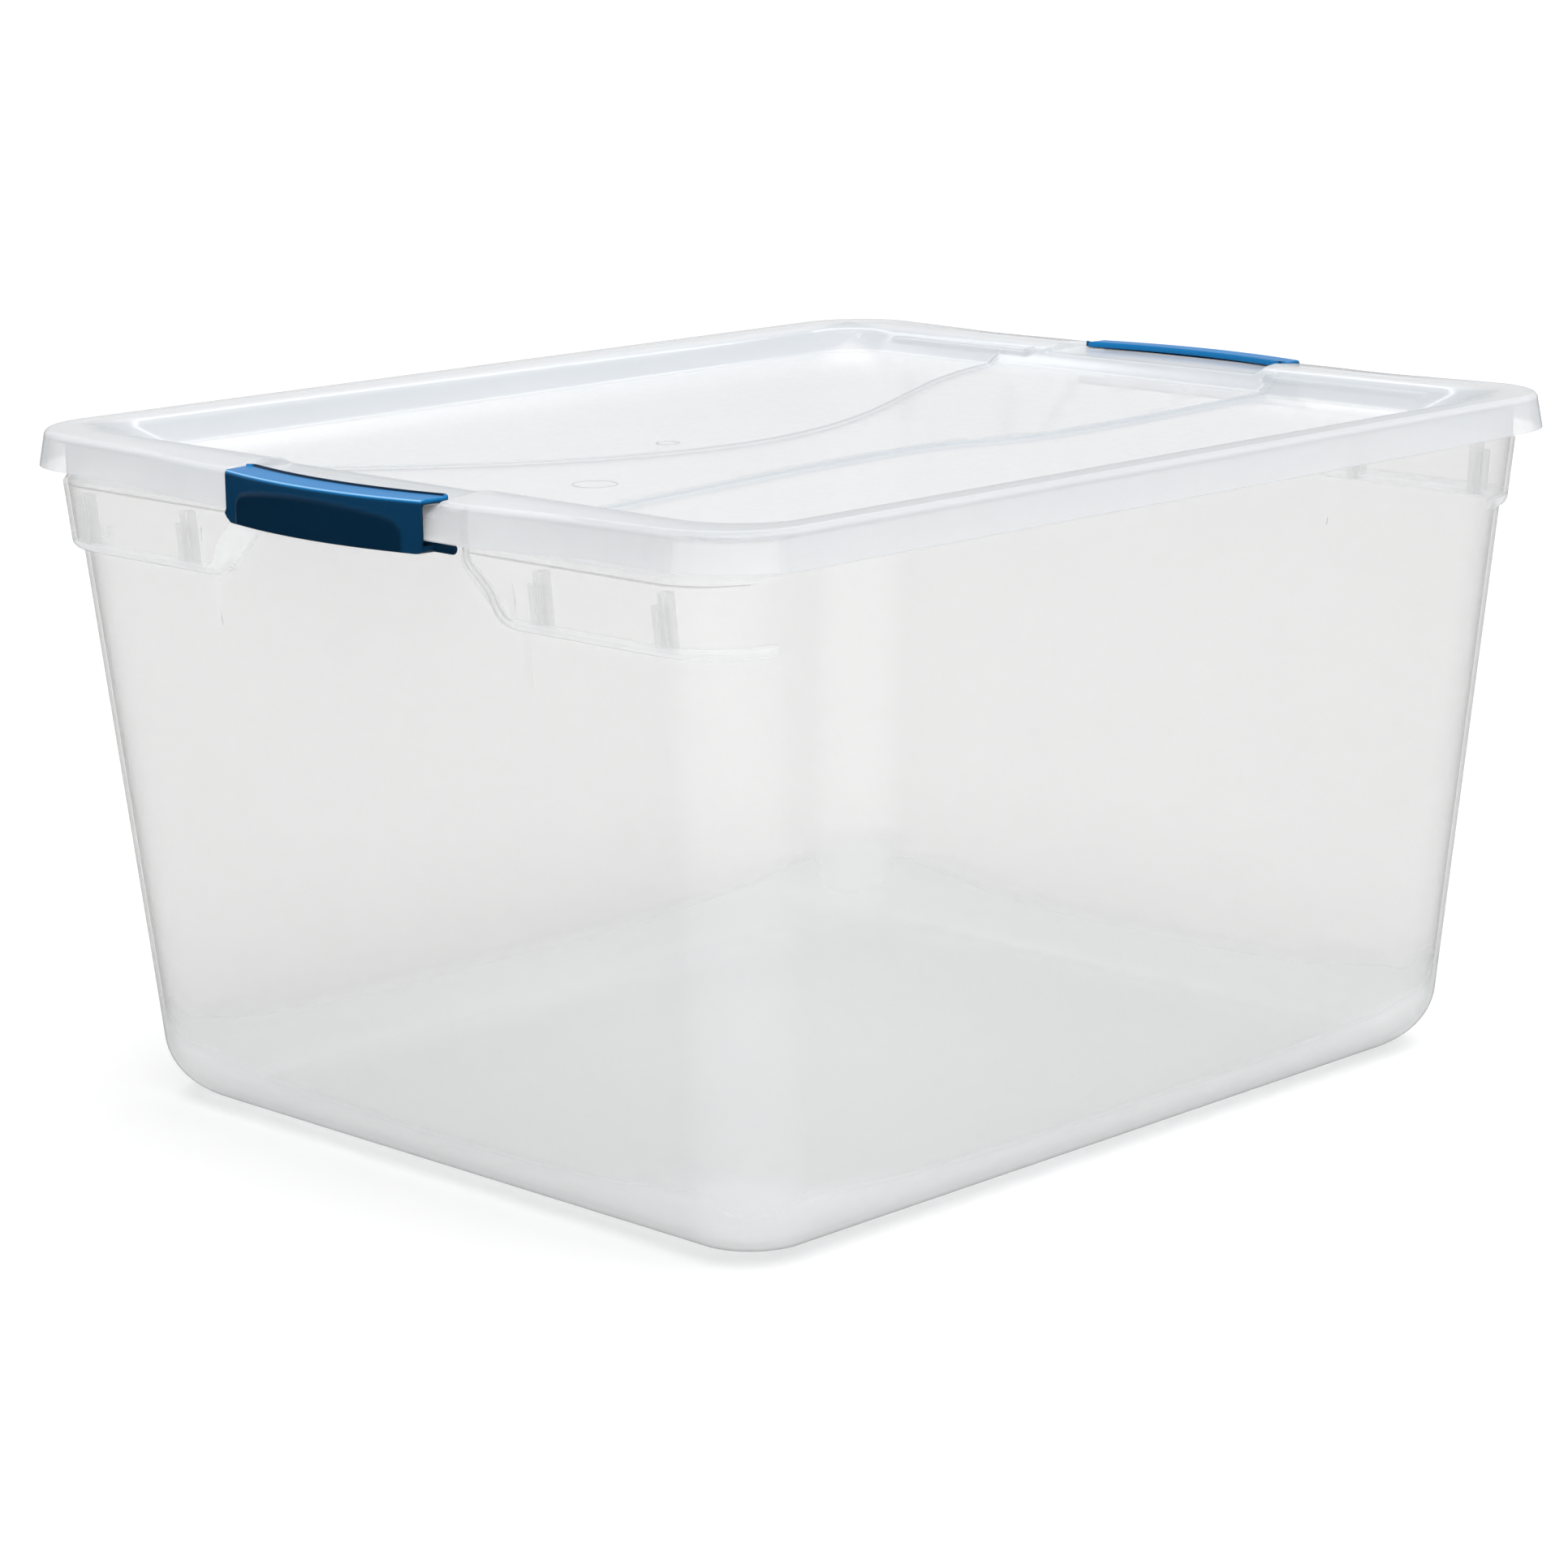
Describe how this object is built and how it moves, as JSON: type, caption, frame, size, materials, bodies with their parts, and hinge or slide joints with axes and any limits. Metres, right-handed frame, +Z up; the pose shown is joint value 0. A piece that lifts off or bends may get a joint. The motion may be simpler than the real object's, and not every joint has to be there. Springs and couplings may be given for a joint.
{
  "type": "latching storage tote",
  "caption": "Clear rectangular plastic storage tote with tapered walls, a press-on recessed lid and a blue hinged latch at each end.",
  "frame": {"origin": "centre of the flat face that the tub rests on", "axes": "+X along the length, from the front latch to the back latch; +Y across; +Z up"},
  "size_m": [0.618, 0.487, 0.3284],
  "materials": {
    "clear_tub": "clear polypropylene, smooth, slightly milky",
    "clear_lid": "clear polypropylene, milky, with a polished skirt",
    "latch_blue": "opaque deep blue, satin gloss"
  },
  "bodies": {
    "tub": {"tub": "clear_tub"},
    "lid": {"lid": "clear_lid"},
    "latch_front": {"latch_front": "latch_blue"},
    "latch_back": {"latch_back": "latch_blue"}
  },
  "joints": [
    {"name": "lid_lift", "type": "slide", "parent": "tub", "child": "lid", "axis": [0, 0, 1], "range_m": [0, 0.35]},
    {"name": "latch_front_hinge", "type": "hinge", "parent": "tub", "child": "latch_front", "pos_m": [-0.291, 0, 0.3058], "axis": [0, -1, 0], "range_deg": [0, 105]},
    {"name": "latch_back_hinge", "type": "hinge", "parent": "tub", "child": "latch_back", "pos_m": [0.291, 0, 0.3058], "axis": [0, 1, 0], "range_deg": [0, 105]}
  ]
}
